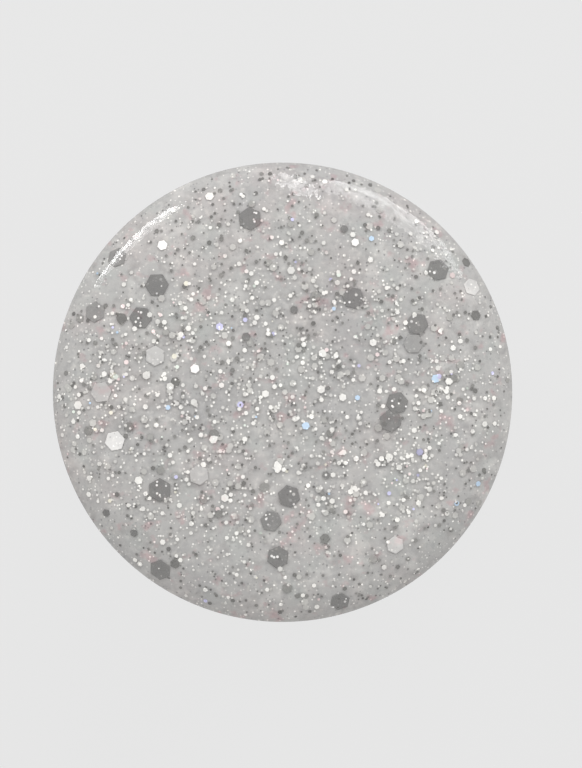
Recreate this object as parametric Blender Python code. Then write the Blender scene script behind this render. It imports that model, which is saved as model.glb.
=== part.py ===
"""A slim round nail polish bottle: glass, screwed brush cap, and a pull-off overcap that carries a drop of the shade."""

import math

import bmesh
import bpy

MM = 0.001

# Glass bottle: a 5 ml cylinder with a heavy base and a 13 mm screw neck.
BODY_RADIUS = 10.0 * MM
BODY_HEIGHT = 31.0 * MM
GLASS_WALL = 1.6 * MM
BASE_THICKNESS = 4.0 * MM
HEEL_RADIUS = 1.5 * MM
SHOULDER_RADIUS = 1.0 * MM
INNER_CORNER_RADIUS = 1.5 * MM
FOOT_RING_WIDTH = 0.8 * MM
PUNT_DEPTH = 0.5 * MM
PUNT_DRAFT = 0.2 * MM
NECK_HEIGHT = 11.0 * MM
NECK_RADIUS = 5.65 * MM
NECK_FILLET = 0.6 * MM
BORE_RADIUS = 3.6 * MM
BORE_EDGE_RADIUS = 0.5 * MM
RIM_EDGE_RADIUS = 0.6 * MM

# Screw thread of the neck, and the matching one inside the brush cap.
THREAD_PITCH = 2.117 * MM
THREAD_DEPTH = 0.8 * MM
THREAD_ROOT_WIDTH = 1.15 * MM
THREAD_CREST_WIDTH = 0.55 * MM
THREAD_TOP_DROP = 2.0 * MM
THREAD_TURNS = 1.6
CAP_THREAD_TURNS = 1.5
THREAD_CLEARANCE = 0.2 * MM
THREAD_EMBED = 0.25 * MM
THREAD_FADE_DEG = 50.0
THREAD_STEPS_PER_TURN = 30

# Polish, and the two steel balls that stir it.
POLISH_LEVEL_DROP = 1.9 * MM
POLISH_GAP = 0.1 * MM
BALL_RADIUS = 1.5875 * MM
BALL_FLOOR_GAP = 0.0125 * MM
BALL_WELL_GAP = 0.2 * MM
BRUSH_WELL_GAP = 0.35 * MM

# Base label in the punt, and the plated collar on the shoulder.
LABEL_THICKNESS = 0.15 * MM
LABEL_EDGE_GAP = 0.3 * MM
COLLAR_HEIGHT = 1.65 * MM
COLLAR_SETBACK = 0.8 * MM
COLLAR_NECK_GAP = 0.15 * MM
COLLAR_EDGE_RADIUS = 0.3 * MM

# Wiper plug in the bore, and the soft seal above its flange.
WIPER_FLANGE_RADIUS = 5.0 * MM
WIPER_FLANGE_THICKNESS = 0.55 * MM
WIPER_LENGTH = 8.0 * MM
WIPER_WALL = 0.6 * MM
WIPER_LIP_THICKNESS = 0.8 * MM
WIPER_TAPER = 0.4 * MM
WIPER_BORE_GAP = 0.1 * MM
STEM_GAP = 0.3 * MM
SEAL_THICKNESS = 1.0 * MM
SEAL_EDGE_GAP = 0.3 * MM

# Brush: stem, anchor staple and bristle tuft.
STEM_RADIUS = 1.6 * MM
STEM_HEAD_RADIUS = 2.6 * MM
STEM_HEAD_HEIGHT = 1.25 * MM
TUFT_HOLE_RADIUS = 1.25 * MM
TUFT_HOLE_DEPTH = 4.0 * MM
TUFT_LENGTH = 15.8 * MM
TUFT_SWELL = 0.08 * MM
TUFT_TIP_RADIUS = 0.5 * MM
TUFT_TIP_GAP = 0.7 * MM
STAPLE_HEIGHT = 1.2 * MM
STAPLE_THICKNESS = 0.4 * MM

# Brush cap, with a grip that is cored out and filled by a steel weight.
CAP_WALL = 1.0 * MM
CAP_GRIP_DEPTH = 0.18 * MM
CAP_GRIP_FLUTES = 30
CAP_WEB_THICKNESS = 2.6 * MM
CAP_GRIP_HEIGHT = 12.6 * MM
CAP_CORE_WALL = 2.0 * MM
CAP_EDGE_CHAMFER = 0.3 * MM
CAP_LEAD_IN = 0.3 * MM
WEIGHT_HEIGHT = 12.0 * MM
WEIGHT_CHAMFER = 0.4 * MM

# Overcap: a lining that grips the brush cap, in an outer shell with a flat top.
LINING_GAP = 0.25 * MM
LINING_WALL = 0.85 * MM
LINING_ROOF = 1.0 * MM
LINING_RIBS = 8
LINING_RIB_HEIGHT = 0.2 * MM
LINING_RECESS = 0.6 * MM
SHELL_WALL = 1.0 * MM
SHELL_GAP = 0.1 * MM
SHELL_ROOF = 1.6 * MM
SHELL_TOP_EDGE = 0.5 * MM
SHELL_MOUTH_EDGE = 0.2 * MM
OVERCAP_MOUTH_GAP = 0.25 * MM

# Shade on the overcap's top: adhesive pad, clear disc and the drop of polish.
PAD_RADIUS = 9.0 * MM
PAD_THICKNESS = 0.2 * MM
DISC_RADIUS = 10.0 * MM
DISC_THICKNESS = 0.8 * MM
DISC_CHAMFER = 0.1 * MM
CAPILLARY_LENGTH = 1.6 * MM
DROP_EDGE_ANGLE_DEG = 52.0
DROP_TOP_ANGLE_DEG = 1.0

SEAT_GAP = 0.05 * MM
MERGE_DISTANCE = 1e-7

# Heights that several pieces share, from the table up.
FLOOR_Z = BASE_THICKNESS
SHOULDER_Z = BODY_HEIGHT
UNDER_SHOULDER_Z = SHOULDER_Z - GLASS_WALL
NECK_TOP_Z = SHOULDER_Z + NECK_HEIGHT
POLISH_TOP_Z = UNDER_SHOULDER_Z - POLISH_LEVEL_DROP
COLLAR_Z = SHOULDER_Z + SEAT_GAP
COLLAR_TOP_Z = COLLAR_Z + COLLAR_HEIGHT
WIPER_FLANGE_Z = NECK_TOP_Z + SEAT_GAP
WIPER_TOP_Z = WIPER_FLANGE_Z + WIPER_FLANGE_THICKNESS
SEAL_Z = WIPER_TOP_Z + 2.0 * SEAT_GAP
CAP_WEB_Z = SEAL_Z + SEAL_THICKNESS + 2.0 * SEAT_GAP
CAP_MOUTH_Z = COLLAR_TOP_Z + 2.0 * OVERCAP_MOUTH_GAP
CAP_CORE_Z = CAP_WEB_Z + CAP_WEB_THICKNESS
CAP_TOP_Z = CAP_CORE_Z + CAP_GRIP_HEIGHT
SHELL_MOUTH_Z = COLLAR_TOP_Z + OVERCAP_MOUTH_GAP
LINING_MOUTH_Z = SHELL_MOUTH_Z + LINING_RECESS
LINING_CEILING_Z = CAP_TOP_Z + LINING_GAP
LINING_TOP_Z = LINING_CEILING_Z + LINING_ROOF
SHELL_CEILING_Z = LINING_TOP_Z + SHELL_GAP
SHELL_TOP_Z = SHELL_CEILING_Z + SHELL_ROOF
PAD_Z = SHELL_TOP_Z + SEAT_GAP
DISC_Z = PAD_Z + PAD_THICKNESS + SEAT_GAP
DROP_Z = DISC_Z + DISC_THICKNESS + SEAT_GAP

# Radii that several pieces share.
INNER_RADIUS = BODY_RADIUS - GLASS_WALL
FOOT_OUTER_RADIUS = BODY_RADIUS - HEEL_RADIUS
PUNT_RADIUS = FOOT_OUTER_RADIUS - FOOT_RING_WIDTH
THREAD_CREST_RADIUS = NECK_RADIUS + THREAD_DEPTH
CAP_BORE_RADIUS = THREAD_CREST_RADIUS + 0.75 * THREAD_CLEARANCE
CAP_RADIUS = CAP_BORE_RADIUS + CAP_WALL
CAP_CORE_RADIUS = CAP_RADIUS - CAP_CORE_WALL
LINING_INNER_RADIUS = CAP_RADIUS + LINING_GAP
LINING_RADIUS = LINING_INNER_RADIUS + LINING_WALL
SHELL_INNER_RADIUS = LINING_RADIUS + SHELL_GAP
SHELL_RADIUS = SHELL_INNER_RADIUS + SHELL_WALL
COLLAR_RADIUS = SHELL_RADIUS - COLLAR_SETBACK
WIPER_RADIUS = BORE_RADIUS - WIPER_BORE_GAP
ORIFICE_RADIUS = STEM_RADIUS + STEM_GAP
TUFT_RADIUS = STEM_RADIUS + TUFT_SWELL
BRUSH_WELL_RADIUS = TUFT_RADIUS + BRUSH_WELL_GAP
POLISH_RADIUS = INNER_RADIUS - POLISH_GAP
BALL_ORBIT_RADIUS = 0.5 * (BRUSH_WELL_RADIUS + POLISH_RADIUS)

# Places of the brush, from its tip up.
TUFT_TIP_Z = FLOOR_Z + TUFT_TIP_GAP
STEM_END_Z = TUFT_TIP_Z + TUFT_LENGTH
STEM_HEAD_Z = CAP_WEB_Z + SEAT_GAP
TUFT_HOLE_TOP_Z = STEM_END_Z + TUFT_HOLE_DEPTH
STAPLE_Z = TUFT_HOLE_TOP_Z - STAPLE_HEIGHT - SEAT_GAP
TUFT_TOP_Z = STAPLE_Z - SEAT_GAP


def clear_scene():
    for item in list(bpy.data.objects):
        bpy.data.objects.remove(item, do_unlink=True)


def finish_of(name, colour, roughness, metallic=0.0, transmission=0.0):
    """A Principled material, made once for each finish."""
    if name in bpy.data.materials:
        return bpy.data.materials[name]
    material = bpy.data.materials.new(name)
    material.use_nodes = True
    shader = material.node_tree.nodes["Principled BSDF"]
    shader.inputs["Base Color"].default_value = (*colour, 1.0)
    shader.inputs["Roughness"].default_value = roughness
    shader.inputs["Metallic"].default_value = metallic
    shader.inputs["Transmission Weight"].default_value = transmission
    return material


def clear_glass():
    return finish_of("clear_glass", (0.93, 0.95, 0.95), 0.03, transmission=1.0)


def glitter_polish():
    return finish_of("glitter_polish", (0.44, 0.435, 0.42), 0.18)


def bright_steel():
    return finish_of("bright_steel", (0.62, 0.62, 0.63), 0.2, metallic=1.0)


def plated_silver():
    return finish_of("plated_silver", (0.80, 0.80, 0.82), 0.12, metallic=1.0)


def black_gloss():
    return finish_of("black_gloss", (0.015, 0.015, 0.017), 0.12)


def black_satin():
    return finish_of("black_satin", (0.02, 0.02, 0.022), 0.4)


def natural_plastic():
    return finish_of("natural_plastic", (0.82, 0.82, 0.80), 0.35)


def white_foam():
    return finish_of("white_foam", (0.88, 0.88, 0.86), 0.8)


def printed_paper():
    return finish_of("printed_paper", (0.86, 0.86, 0.85), 0.6)


def black_bristle():
    return finish_of("black_bristle", (0.03, 0.028, 0.027), 0.45)


def empty_on_axis(name, parent=None):
    """A parent whose origin lies on the bottle's axis, along which the pieces turn and slide."""
    empty = bpy.data.objects.new(name, None)
    empty.empty_display_size = BODY_RADIUS
    bpy.context.collection.objects.link(empty)
    empty.parent = parent
    return empty


def add_piece(name, bm, material, parent, location=(0.0, 0.0, 0.0)):
    """Turn a bmesh into a smooth-shaded object with one material."""
    mesh = bpy.data.meshes.new(name)
    bm.to_mesh(mesh)
    bm.free()
    mesh.materials.append(material)
    mesh.shade_smooth()
    mesh.set_sharp_from_angle(angle=math.radians(35.0))
    piece = bpy.data.objects.new(name, mesh)
    bpy.context.collection.objects.link(piece)
    piece.parent = parent
    piece.location = location
    return piece


def make_helper(helper):
    helper.hide_render = True
    helper.display_type = "WIRE"


def combine(piece, helper, operation):
    """Join a helper's shape to a piece, or cut it away."""
    make_helper(helper)
    modifier = piece.modifiers.new(helper.name, "BOOLEAN")
    modifier.operation = operation
    modifier.solver = "EXACT"
    modifier.object = helper


def arc(centre_r, centre_z, radius, start_deg, end_deg, steps):
    """Points of an arc in the (r, z) half-plane, both ends included."""
    points = []
    for step in range(steps + 1):
        angle = math.radians(start_deg + (end_deg - start_deg) * step / steps)
        points.append((centre_r + radius * math.cos(angle), centre_z + radius * math.sin(angle)))
    return points


def spun(outline, sides):
    """Spin an (r, z) outline round the axis; it starts and ends on the axis, or closes on itself."""
    bm = bmesh.new()
    verts = [bm.verts.new((r, 0.0, z)) for r, z in outline]
    edges = [bm.edges.new(pair) for pair in zip(verts, verts[1:])]
    if outline[0][0] > 0.0:
        edges.append(bm.edges.new((verts[-1], verts[0])))
    bmesh.ops.spin(
        bm,
        geom=verts + edges,
        cent=(0.0, 0.0, 0.0),
        axis=(0.0, 0.0, 1.0),
        angle=2.0 * math.pi,
        steps=sides,
        use_merge=True,
    )
    bmesh.ops.remove_doubles(bm, verts=bm.verts, dist=MERGE_DISTANCE)
    bmesh.ops.recalc_face_normals(bm, faces=bm.faces)
    return bm


def push_ribs(bm, wall_radius, offset, sides, spacing):
    """Move every spacing-th line of vertices on one wall in or out, which makes upright ribs."""
    for vert in bm.verts:
        radius = math.hypot(vert.co.x, vert.co.y)
        side = round(math.atan2(vert.co.y, vert.co.x) * sides / (2.0 * math.pi))
        if abs(radius - wall_radius) < MERGE_DISTANCE * 10.0 and side % spacing == 0:
            vert.co.x *= (wall_radius + offset) / wall_radius
            vert.co.y *= (wall_radius + offset) / wall_radius


def thread_ridge(name, wall_radius, crest_radius, start_z, turns, parent):
    """A helper in the shape of one right-handed thread, faded out at both ends and sunk into its wall."""
    outwards = 1.0 if crest_radius > wall_radius else -1.0
    sunk_radius = wall_radius - outwards * THREAD_EMBED
    steps = round(turns * THREAD_STEPS_PER_TURN)
    fade_steps = THREAD_FADE_DEG / 360.0 * THREAD_STEPS_PER_TURN
    bm = bmesh.new()
    sections = []
    for step in range(steps + 1):
        fade = min(1.0, (min(step, steps - step) + 0.6) / fade_steps)
        turn = step / THREAD_STEPS_PER_TURN
        centre_z = start_z + turn * THREAD_PITCH
        angle = 2.0 * math.pi * turn
        crest = wall_radius + (crest_radius - wall_radius) * fade
        section = []
        for radius, half_width in (
            (sunk_radius, -0.5 * THREAD_ROOT_WIDTH),
            (crest, -0.5 * THREAD_CREST_WIDTH),
            (crest, 0.5 * THREAD_CREST_WIDTH),
            (sunk_radius, 0.5 * THREAD_ROOT_WIDTH),
        ):
            corner = (radius * math.cos(angle), radius * math.sin(angle), centre_z + half_width)
            section.append(bm.verts.new(corner))
        sections.append(section)
    for lower, upper in zip(sections, sections[1:]):
        for side in range(4):
            after = (side + 1) % 4
            bm.faces.new((lower[side], lower[after], upper[after], upper[side]))
    bm.faces.new(sections[0])
    bm.faces.new(sections[-1])
    bmesh.ops.recalc_face_normals(bm, faces=bm.faces)
    return add_piece(name, bm, clear_glass(), parent)


def make_glass_bottle(parent):
    """Body with foot ring, punt, heel, shoulder and neck; its inside is the polish chamber and the bore."""
    heel = HEEL_RADIUS
    shoulder = SHOULDER_RADIUS
    corner = INNER_CORNER_RADIUS
    under = UNDER_SHOULDER_Z
    outline = [(0.0, PUNT_DEPTH), (PUNT_RADIUS - PUNT_DRAFT, PUNT_DEPTH), (PUNT_RADIUS, 0.0)]
    outline += arc(FOOT_OUTER_RADIUS, heel, heel, -90.0, 0.0, 4)
    outline += arc(BODY_RADIUS - shoulder, SHOULDER_Z - shoulder, shoulder, 0.0, 90.0, 4)
    outline += arc(NECK_RADIUS + NECK_FILLET, SHOULDER_Z + NECK_FILLET, NECK_FILLET, 270.0, 180.0, 2)
    outline += arc(NECK_RADIUS - RIM_EDGE_RADIUS, NECK_TOP_Z - RIM_EDGE_RADIUS, RIM_EDGE_RADIUS, 0.0, 90.0, 3)
    outline += arc(BORE_RADIUS + BORE_EDGE_RADIUS, NECK_TOP_Z - BORE_EDGE_RADIUS, BORE_EDGE_RADIUS, 90.0, 180.0, 2)
    outline += arc(BORE_RADIUS + BORE_EDGE_RADIUS, under + BORE_EDGE_RADIUS, BORE_EDGE_RADIUS, 180.0, 270.0, 2)
    outline += arc(INNER_RADIUS - corner, under - corner, corner, 90.0, 0.0, 3)
    outline += arc(INNER_RADIUS - corner, FLOOR_Z + corner, corner, 0.0, -90.0, 3)
    outline += [(0.0, FLOOR_Z)]
    bottle = add_piece("glass_bottle", spun(outline, 48), clear_glass(), parent)
    start_z = NECK_TOP_Z - THREAD_TOP_DROP - THREAD_TURNS * THREAD_PITCH
    ridge = thread_ridge("neck_thread_helper", NECK_RADIUS, THREAD_CREST_RADIUS, start_z, THREAD_TURNS, parent)
    combine(bottle, ridge, "UNION")


def make_base_label(parent):
    """Round paper label in the punt, clear of the table."""
    radius = PUNT_RADIUS - PUNT_DRAFT - LABEL_EDGE_GAP
    top = PUNT_DEPTH - SEAT_GAP
    bottom = top - LABEL_THICKNESS
    outline = [(0.0, bottom), (radius, bottom), (radius, top), (0.0, top)]
    add_piece("base_label", spun(outline, 32), printed_paper(), parent)


def make_polish_fill(parent):
    """The liquid, with a well where the brush stands and a shaft for each ball's travel."""
    corner = INNER_CORNER_RADIUS - POLISH_GAP
    bottom = FLOOR_Z + POLISH_GAP
    well_bottom = TUFT_TIP_Z - BRUSH_WELL_GAP
    outline = [(0.0, bottom)]
    outline += arc(POLISH_RADIUS - corner, bottom + corner, corner, -90.0, 0.0, 3)
    outline += [(POLISH_RADIUS, POLISH_TOP_Z), (BRUSH_WELL_RADIUS, POLISH_TOP_Z)]
    outline += [(BRUSH_WELL_RADIUS, well_bottom), (0.0, well_bottom)]
    polish = add_piece("polish_fill", spun(outline, 40), glitter_polish(), parent)
    for number, side in ((1, 1.0), (2, -1.0)):
        radius = BALL_RADIUS + BALL_WELL_GAP
        shaft = spun([(0.0, 0.0), (radius, 0.0), (radius, SHOULDER_Z), (0.0, SHOULDER_Z)], 16)
        place = (side * BALL_ORBIT_RADIUS, 0.0, 0.0)
        helper = add_piece(f"ball_shaft_helper_{number}", shaft, glitter_polish(), parent, place)
        combine(polish, helper, "DIFFERENCE")


def make_mixing_ball(number, side, parent):
    """A steel ball that lies on the glass floor beside the brush."""
    bm = bmesh.new()
    bmesh.ops.create_uvsphere(bm, u_segments=16, v_segments=10, radius=BALL_RADIUS)
    place = (side * BALL_ORBIT_RADIUS, 0.0, FLOOR_Z + BALL_FLOOR_GAP + BALL_RADIUS)
    add_piece(f"mixing_ball_{number}", bm, bright_steel(), parent, place)


def make_neck_collar(parent):
    """Plated ring on the shoulder, set back a little from the overcap above it."""
    inner = NECK_RADIUS + NECK_FILLET + COLLAR_NECK_GAP
    outer = COLLAR_RADIUS
    edge = COLLAR_EDGE_RADIUS
    outline = [(inner, COLLAR_Z)]
    outline += arc(outer - edge, COLLAR_Z + edge, edge, -90.0, 0.0, 2)
    outline += arc(outer - edge, COLLAR_TOP_Z - edge, edge, 0.0, 90.0, 2)
    outline += [(inner, COLLAR_TOP_Z)]
    add_piece("neck_collar", spun(outline, 48), plated_silver(), parent)


def make_wiper(parent):
    """Moulded plug whose flange lies on the neck and whose lower lip strips the brush."""
    bottom = WIPER_TOP_Z - WIPER_LENGTH
    throat = WIPER_RADIUS - WIPER_WALL
    outline = [
        (ORIFICE_RADIUS, bottom),
        (WIPER_RADIUS - WIPER_TAPER, bottom),
        (WIPER_RADIUS, bottom + 2.0 * WIPER_LIP_THICKNESS),
        (WIPER_RADIUS, WIPER_FLANGE_Z),
        (WIPER_FLANGE_RADIUS, WIPER_FLANGE_Z),
        (WIPER_FLANGE_RADIUS, WIPER_TOP_Z),
        (throat, WIPER_TOP_Z),
        (throat, bottom + 2.0 * WIPER_LIP_THICKNESS),
        (ORIFICE_RADIUS, bottom + WIPER_LIP_THICKNESS),
    ]
    add_piece("wiper", spun(outline, 32), natural_plastic(), parent)


def make_seal_liner(parent):
    """Foam ring between the wiper's flange and the brush cap's web."""
    outer = CAP_BORE_RADIUS - SEAL_EDGE_GAP
    top = SEAL_Z + SEAL_THICKNESS
    outline = [(ORIFICE_RADIUS, SEAL_Z), (outer, SEAL_Z), (outer, top), (ORIFICE_RADIUS, top)]
    add_piece("seal_liner", spun(outline, 32), white_foam(), parent)


def make_brush_cap(parent):
    """Threaded cap with a fluted grip, a socket for the stem below its web and a core above it."""
    sides = 2 * CAP_GRIP_FLUTES
    socket_radius = STEM_HEAD_RADIUS + 2.0 * SEAT_GAP
    socket_top = CAP_WEB_Z + STEM_HEAD_HEIGHT + 3.0 * SEAT_GAP
    outline = [
        (0.0, socket_top),
        (socket_radius, socket_top),
        (socket_radius, CAP_WEB_Z),
        (CAP_BORE_RADIUS, CAP_WEB_Z),
        (CAP_BORE_RADIUS, CAP_MOUTH_Z + CAP_LEAD_IN),
        (CAP_BORE_RADIUS + CAP_LEAD_IN, CAP_MOUTH_Z),
        (CAP_RADIUS - CAP_EDGE_CHAMFER, CAP_MOUTH_Z),
        (CAP_RADIUS, CAP_MOUTH_Z + CAP_EDGE_CHAMFER),
        (CAP_RADIUS, CAP_TOP_Z - CAP_EDGE_CHAMFER),
        (CAP_RADIUS - CAP_EDGE_CHAMFER, CAP_TOP_Z),
        (CAP_CORE_RADIUS, CAP_TOP_Z),
        (CAP_CORE_RADIUS, CAP_CORE_Z),
        (0.0, CAP_CORE_Z),
    ]
    bm = spun(outline, sides)
    push_ribs(bm, CAP_RADIUS, -CAP_GRIP_DEPTH, sides, 2)
    cap = add_piece("brush_cap", bm, black_satin(), parent)
    # The cap's thread runs half a pitch below the neck's, so the two flanks never meet.
    start_z = NECK_TOP_Z - THREAD_TOP_DROP - (THREAD_TURNS + 0.5) * THREAD_PITCH
    crest = NECK_RADIUS + THREAD_CLEARANCE
    ridge = thread_ridge("cap_thread_helper", CAP_BORE_RADIUS, crest, start_z, CAP_THREAD_TURNS, parent)
    combine(cap, ridge, "UNION")


def make_cap_weight(parent):
    """Steel slug pressed into the cap's core, which gives the cap its heft."""
    radius = CAP_CORE_RADIUS - 2.0 * SEAT_GAP
    bottom = CAP_CORE_Z + SEAT_GAP
    top = bottom + WEIGHT_HEIGHT
    outline = [
        (0.0, bottom),
        (radius - WEIGHT_CHAMFER, bottom),
        (radius, bottom + WEIGHT_CHAMFER),
        (radius, top - WEIGHT_CHAMFER),
        (radius - WEIGHT_CHAMFER, top),
        (0.0, top),
    ]
    add_piece("cap_weight", spun(outline, 32), bright_steel(), parent)


def make_brush_stem(parent):
    """Stem with a head that snaps into the cap, and a blind hole for the tuft."""
    head_top = STEM_HEAD_Z + STEM_HEAD_HEIGHT
    outline = [
        (0.0, TUFT_HOLE_TOP_Z),
        (TUFT_HOLE_RADIUS, TUFT_HOLE_TOP_Z),
        (TUFT_HOLE_RADIUS, STEM_END_Z),
        (STEM_RADIUS, STEM_END_Z),
        (STEM_RADIUS, STEM_HEAD_Z),
        (STEM_HEAD_RADIUS, STEM_HEAD_Z),
        (STEM_HEAD_RADIUS, head_top),
        (0.0, head_top),
    ]
    add_piece("brush_stem", spun(outline, 24), black_satin(), parent)


def make_brush_staple(parent):
    """Flat anchor across the tuft hole, over which the bristles are folded."""
    bm = bmesh.new()
    bmesh.ops.create_cube(bm, size=1.0)
    width = 2.0 * (TUFT_HOLE_RADIUS - 2.0 * SEAT_GAP)
    bmesh.ops.scale(bm, vec=(width, STAPLE_THICKNESS, STAPLE_HEIGHT), verts=bm.verts)
    bmesh.ops.bevel(bm, geom=bm.edges, offset=0.1 * STAPLE_THICKNESS, segments=1, affect="EDGES")
    add_piece("brush_staple", bm, bright_steel(), parent, (0.0, 0.0, STAPLE_Z + 0.5 * STAPLE_HEIGHT))


def make_bristle_tuft(parent):
    """The tuft as one body: packed in the stem's hole, swelling below it and closing at the tip."""
    packed = TUFT_HOLE_RADIUS - SEAT_GAP
    outline = [
        (0.0, TUFT_TOP_Z),
        (packed, TUFT_TOP_Z),
        (packed, STEM_END_Z),
        (0.9 * TUFT_RADIUS, STEM_END_Z - 0.12 * TUFT_LENGTH),
        (TUFT_RADIUS, STEM_END_Z - 0.4 * TUFT_LENGTH),
        (0.96 * TUFT_RADIUS, STEM_END_Z - 0.72 * TUFT_LENGTH),
        (0.7 * TUFT_RADIUS, STEM_END_Z - 0.92 * TUFT_LENGTH),
        (TUFT_TIP_RADIUS, TUFT_TIP_Z),
        (0.0, TUFT_TIP_Z),
    ]
    add_piece("bristle_tuft", spun(outline, 20), black_bristle(), parent)


def make_overcap_lining(parent):
    """Inner cup of the overcap, whose upright ribs grip the brush cap."""
    sides = 6 * LINING_RIBS
    outline = [
        (0.0, LINING_CEILING_Z),
        (LINING_INNER_RADIUS, LINING_CEILING_Z),
        (LINING_INNER_RADIUS, LINING_MOUTH_Z),
        (LINING_RADIUS, LINING_MOUTH_Z),
        (LINING_RADIUS, LINING_TOP_Z),
        (0.0, LINING_TOP_Z),
    ]
    bm = spun(outline, sides)
    push_ribs(bm, LINING_INNER_RADIUS, -LINING_RIB_HEIGHT, sides, 6)
    add_piece("overcap_lining", bm, natural_plastic(), parent)


def make_overcap_shell(parent):
    """Straight outer shell with a flat top for the shade."""
    mouth = SHELL_MOUTH_EDGE
    top = SHELL_TOP_EDGE
    outline = [(0.0, SHELL_CEILING_Z), (SHELL_INNER_RADIUS, SHELL_CEILING_Z), (SHELL_INNER_RADIUS, SHELL_MOUTH_Z)]
    outline += arc(SHELL_RADIUS - mouth, SHELL_MOUTH_Z + mouth, mouth, -90.0, 0.0, 2)
    outline += arc(SHELL_RADIUS - top, SHELL_TOP_Z - top, top, 0.0, 90.0, 3)
    outline += [(0.0, SHELL_TOP_Z)]
    add_piece("overcap_shell", spun(outline, 48), black_gloss(), parent)


def make_adhesive_pad(parent):
    """Thin double-sided pad under the disc."""
    top = PAD_Z + PAD_THICKNESS
    outline = [(0.0, PAD_Z), (PAD_RADIUS, PAD_Z), (PAD_RADIUS, top), (0.0, top)]
    add_piece("adhesive_pad", spun(outline, 32), white_foam(), parent)


def make_sample_disc(parent):
    """Clear acrylic disc whose sharp upper edge holds the drop's rim."""
    top = DISC_Z + DISC_THICKNESS
    outline = [
        (0.0, DISC_Z),
        (DISC_RADIUS - DISC_CHAMFER, DISC_Z),
        (DISC_RADIUS, DISC_Z + DISC_CHAMFER),
        (DISC_RADIUS, top),
        (0.0, top),
    ]
    add_piece("sample_disc", spun(outline, 64), clear_glass(), parent)


def edge_distance(slope):
    """Distance along a resting liquid's surface outline, in capillary lengths, up to a constant."""
    return math.log(math.tan(0.25 * slope)) + 2.0 * math.cos(0.5 * slope)


def make_shade_drop(parent):
    """Hardened drop of polish: nearly flat on top, with the capillary curve of a liquid at its rim."""
    edge_slope = math.radians(DROP_EDGE_ANGLE_DEG)
    top_slope = math.radians(DROP_TOP_ANGLE_DEG)
    height = 2.0 * CAPILLARY_LENGTH * math.sin(0.5 * edge_slope)
    steps = 10
    outline = [(0.0, DROP_Z), (DISC_RADIUS, DROP_Z)]
    for step in range(1, steps + 1):
        slope = edge_slope * (top_slope / edge_slope) ** (step / steps)
        inset = CAPILLARY_LENGTH * (edge_distance(edge_slope) - edge_distance(slope))
        z = DROP_Z + height - 2.0 * CAPILLARY_LENGTH * math.sin(0.5 * slope)
        outline.append((DISC_RADIUS - inset, z))
    outline.append((0.0, DROP_Z + height))
    add_piece("shade_drop", spun(outline, 64), glitter_polish(), parent)


def build():
    clear_scene()
    bottle = empty_on_axis("bottle_axis")
    make_glass_bottle(bottle)
    make_base_label(bottle)
    make_polish_fill(bottle)
    make_neck_collar(bottle)
    make_wiper(bottle)
    make_mixing_ball(1, 1.0, bottle)
    make_mixing_ball(2, -1.0, bottle)
    seal = empty_on_axis("cap_rise_axis", bottle)
    make_seal_liner(seal)
    wand = empty_on_axis("cap_turn_axis", seal)
    make_brush_cap(wand)
    make_cap_weight(wand)
    make_brush_stem(wand)
    make_brush_staple(wand)
    make_bristle_tuft(wand)
    overcap = empty_on_axis("overcap_pull_axis", wand)
    make_overcap_lining(overcap)
    make_overcap_shell(overcap)
    make_adhesive_pad(overcap)
    make_sample_disc(overcap)
    make_shade_drop(overcap)


build()
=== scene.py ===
"""A slim nail polish bottle: clear glass, a brush cap, and an overcap that carries a drop of its shade."""

import math

import bpy
import numpy as np
from mathutils import Matrix, Vector


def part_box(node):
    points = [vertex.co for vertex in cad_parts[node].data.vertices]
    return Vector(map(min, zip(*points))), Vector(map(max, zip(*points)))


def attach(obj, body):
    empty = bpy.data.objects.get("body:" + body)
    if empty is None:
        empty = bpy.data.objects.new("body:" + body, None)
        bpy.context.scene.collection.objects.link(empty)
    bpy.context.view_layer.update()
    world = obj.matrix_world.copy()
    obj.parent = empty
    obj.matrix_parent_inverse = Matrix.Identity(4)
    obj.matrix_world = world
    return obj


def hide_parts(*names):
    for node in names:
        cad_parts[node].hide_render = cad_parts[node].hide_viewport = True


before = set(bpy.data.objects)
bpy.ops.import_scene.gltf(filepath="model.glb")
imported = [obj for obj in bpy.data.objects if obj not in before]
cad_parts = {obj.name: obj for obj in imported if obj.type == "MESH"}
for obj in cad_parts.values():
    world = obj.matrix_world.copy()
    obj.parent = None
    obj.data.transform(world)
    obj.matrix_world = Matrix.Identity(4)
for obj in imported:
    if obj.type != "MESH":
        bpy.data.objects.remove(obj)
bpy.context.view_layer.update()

MM = 0.001


# ----------------------------------------
# Sweep, lights and camera. The bottle stands on a pale sweep and is looked at
# from straight above its cap, so that the drop of shade fills the view.
# ----------------------------------------

def add_node(tree, kind, *inputs, **settings):
    """Add a node to a tree. An input, given by place or by name with _ for a space, is a value or the
    socket that feeds it; a setting whose name starts in lower case is one of the node's options."""
    node = tree.nodes.new(kind)
    sockets = list(enumerate(inputs))
    for name, value in settings.items():
        if name[0].islower():
            setattr(node, name, value)
        else:
            sockets.append((name.replace("_", " "), value))
    for socket, value in sockets:
        if isinstance(value, bpy.types.NodeSocket):
            tree.links.new(value, node.inputs[socket])
        else:
            node.inputs[socket].default_value = value
    return node


def new_material(name, **values):
    """A material, its tree and its Principled shader, whose sockets take the given values."""
    material = bpy.data.materials.new(name)
    material.use_nodes = True
    shader = material.node_tree.nodes["Principled BSDF"]
    for socket, value in values.items():
        shader.inputs[socket.replace("_", " ")].default_value = value
    return material, material.node_tree, shader


drop_low, drop_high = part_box("shade_drop")
RIM_HEIGHT = drop_low.z
RIM_RADIUS = drop_high.x

# The sweep glows at its own tone where it is seen, and more dimly in reflections: gloss black stays black.
PALE_GREY = 0.80
SWEEP_DIFFUSE = 0.06
SWEEP_GLOW = PALE_GREY - 1.08 * SWEEP_DIFFUSE
SWEEP_REFLECTED = 0.42
SWEEP_SIZE = 12.0

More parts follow.
